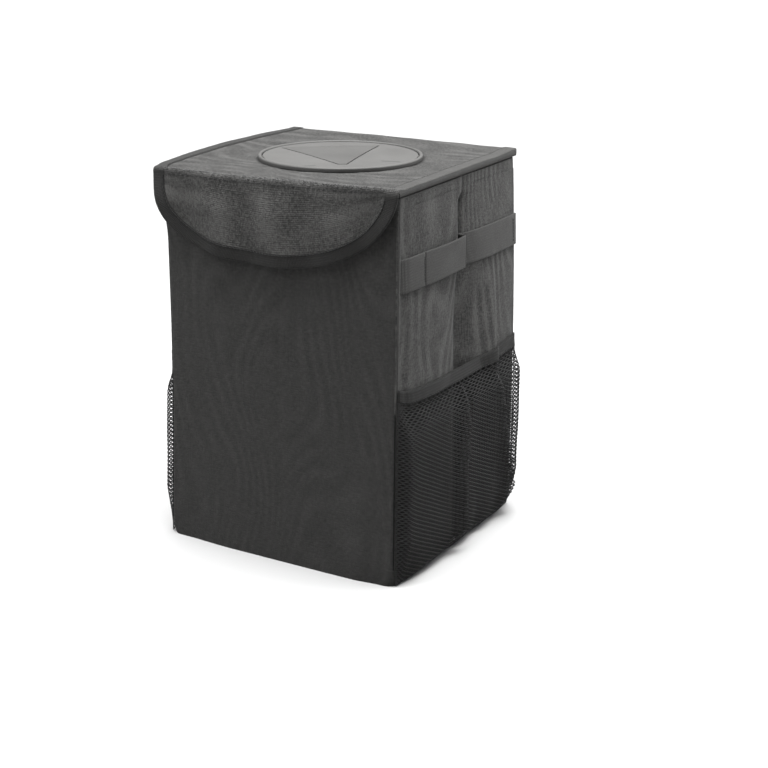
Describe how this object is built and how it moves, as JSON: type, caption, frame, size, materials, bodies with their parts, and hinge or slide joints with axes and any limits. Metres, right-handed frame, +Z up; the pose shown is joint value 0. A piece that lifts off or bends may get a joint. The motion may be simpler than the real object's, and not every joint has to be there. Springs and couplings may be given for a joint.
{
  "type": "car trash bin",
  "caption": "Soft box-shaped trash bin for a car, with a hinged lid, a push-in rubber port, a front closing flap, net side pockets and a hanging strap.",
  "frame": {"origin": "middle of the base on the surface it stands on", "axes": "+Z up, -Y towards the closing flap in front, +X towards the right side seen from the front"},
  "size_m": [0.222, 0.201, 0.2949],
  "materials": {
    "front_cloth": "woven",
    "side_cloth": "woven",
    "lid_cloth": "woven",
    "lining": "coated",
    "board": "matte",
    "tape": "woven",
    "webbing": "woven",
    "net": "knitted",
    "patch": "hook and loop",
    "port_rubber": "matte",
    "buckle_plastic": "satin"
  },
  "bodies": {
    "bin": {"front_panel": "front_cloth", "back_panel": "front_cloth", "left_side_panel": "side_cloth", "right_side_panel": "side_cloth", "base_panel": "front_cloth", "front_board": "board", "back_board": "board", "base_board": "board", "liner": "lining", "rim_binding": "tape", "left_band": "webbing", "right_band": "webbing", "left_mesh_pocket": "net", "right_mesh_pocket": "net", "left_pocket_hem": "tape", "right_pocket_hem": "tape", "loop_patch": "patch", "strap_right": "webbing", "buckle_socket": "buckle_plastic"},
    "lid": {"lid_cover": "lid_cloth", "lid_board": "board", "lid_lining": "lining", "lid_binding": "tape", "port": "port_rubber"},
    "front_flap": {"front_flap": "front_cloth", "flap_binding": "tape", "hook_patch": "patch"},
    "push_flap": {"push_flap": "port_rubber"},
    "buckle_plug": {"buckle_plug": "buckle_plastic", "strap_left": "webbing"}
  },
  "joints": [
    {"name": "lid_hinge", "type": "hinge", "parent": "bin", "child": "lid", "pos_m": [0, 0.0946, 0.2873], "axis": [-1, 0, 0], "range_deg": [0, 180]},
    {"name": "front_flap_hinge", "type": "hinge", "parent": "lid", "child": "front_flap", "pos_m": [0, -0.0961, 0.2917], "axis": [-1, 0, 0], "range_deg": [0, 120]},
    {"name": "port_push", "type": "hinge", "parent": "lid", "child": "push_flap", "pos_m": [-0.02115, 0.02807, 0.2919], "axis": [0.7986, 0.6018, 0], "range_deg": [0, 75], "stiffness_Nm_per_rad": 0.15},
    {"name": "buckle_release", "type": "slide", "parent": "bin", "child": "buckle_plug", "axis": [-1, 0, 0], "range_m": [0, 0.024]}
  ]
}
